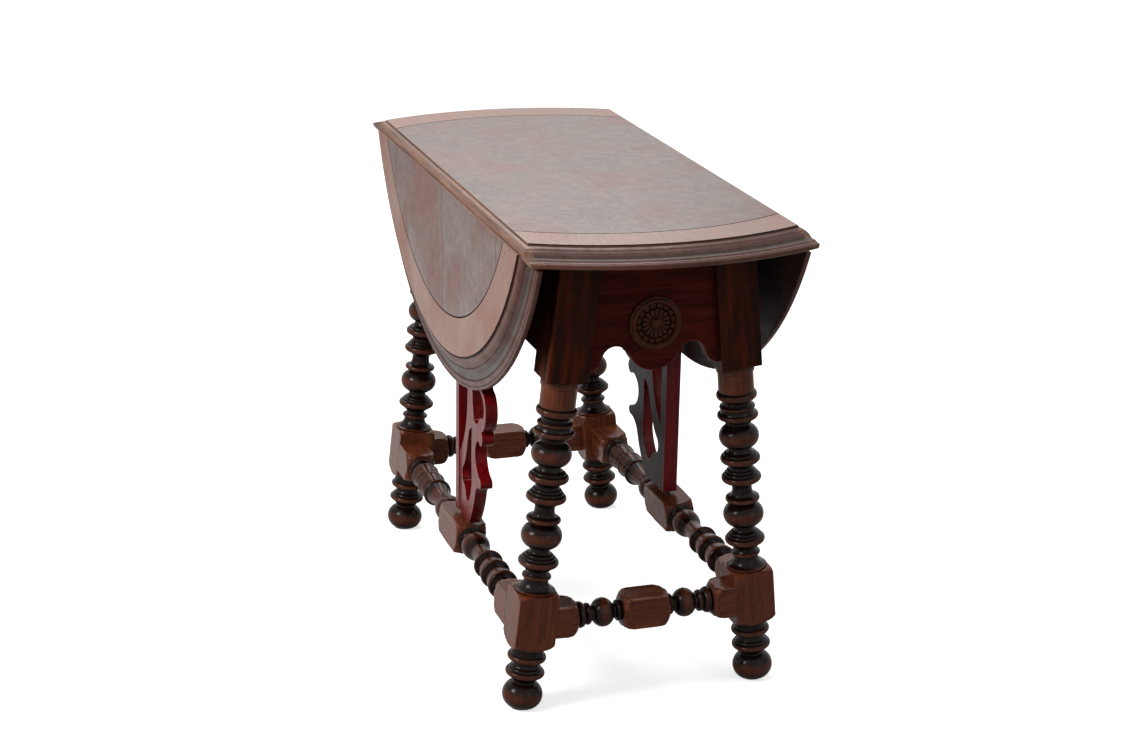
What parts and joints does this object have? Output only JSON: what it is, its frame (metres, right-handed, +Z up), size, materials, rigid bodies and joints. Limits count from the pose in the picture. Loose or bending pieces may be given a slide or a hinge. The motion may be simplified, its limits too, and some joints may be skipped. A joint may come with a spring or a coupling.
{
  "type": "butterfly drop-leaf table",
  "caption": "Round drop-leaf table: moulded top on rule joints, raked ball-turned legs, turned stretchers, and pierced butterfly wings that pivot between board and stretcher.",
  "frame": {"origin": "on the floor, under the middle of the fixed board", "axes": "+Z up; X across the table from leaf to leaf; Y along the fixed board, with the near end at -Y"},
  "size_m": [0.438, 1.0338, 0.74],
  "materials": {
    "veneered_top": "satin",
    "turned_wood": "gloss",
    "frame_wood": "satin",
    "wing_mahogany": "satin",
    "carved_wood": "satin",
    "secondary_wood": "matte",
    "hinge_iron": "matte",
    "pivot_iron": "satin"
  },
  "bodies": {
    "frame": {"centre_board": "veneered_top", "far_apron": "frame_wood", "far_end_stretcher": "turned_wood", "far_left_glue_block": "secondary_wood", "far_left_leg": "turned_wood", "far_right_glue_block": "secondary_wood", "far_right_leg": "turned_wood", "far_rosette": "carved_wood", "left_board_hinge_flaps": "hinge_iron", "left_hinge_pins": "hinge_iron", "left_side_rail": "frame_wood", "left_side_stretcher": "turned_wood", "near_apron": "frame_wood", "near_end_stretcher": "turned_wood", "near_left_glue_block": "secondary_wood", "near_left_leg": "turned_wood", "near_right_glue_block": "secondary_wood", "near_right_leg": "turned_wood", "near_rosette": "carved_wood", "right_board_hinge_flaps": "hinge_iron", "right_hinge_pins": "hinge_iron", "right_side_rail": "frame_wood", "right_side_stretcher": "turned_wood"},
    "left_leaf": {"left_leaf": "veneered_top", "left_leaf_hinge_flaps": "hinge_iron"},
    "right_leaf": {"right_leaf": "veneered_top", "right_leaf_hinge_flaps": "hinge_iron"},
    "left_wing": {"left_wing": "wing_mahogany", "left_wing_pivots": "pivot_iron"},
    "right_wing": {"right_wing": "wing_mahogany", "right_wing_pivots": "pivot_iron"}
  },
  "joints": [
    {"name": "left_leaf_hinge", "type": "hinge", "parent": "frame", "child": "left_leaf", "pos_m": [-0.204, 0.26, 0.725], "axis": [0, 1, 0], "range_deg": [0, 90]},
    {"name": "right_leaf_hinge", "type": "hinge", "parent": "frame", "child": "right_leaf", "pos_m": [0.204, 0.26, 0.725], "axis": [0, -1, 0], "range_deg": [0, 90]},
    {"name": "left_wing_pivot", "type": "hinge", "parent": "frame", "child": "left_wing", "pos_m": [-0.175, 0.0085, 0.7115], "axis": [0, 0, -1], "range_deg": [-5.8, 0.6]},
    {"name": "right_wing_pivot", "type": "hinge", "parent": "frame", "child": "right_wing", "pos_m": [0.175, -0.0085, 0.7115], "axis": [0, 0, -1], "range_deg": [-0.2, 6.2]}
  ]
}
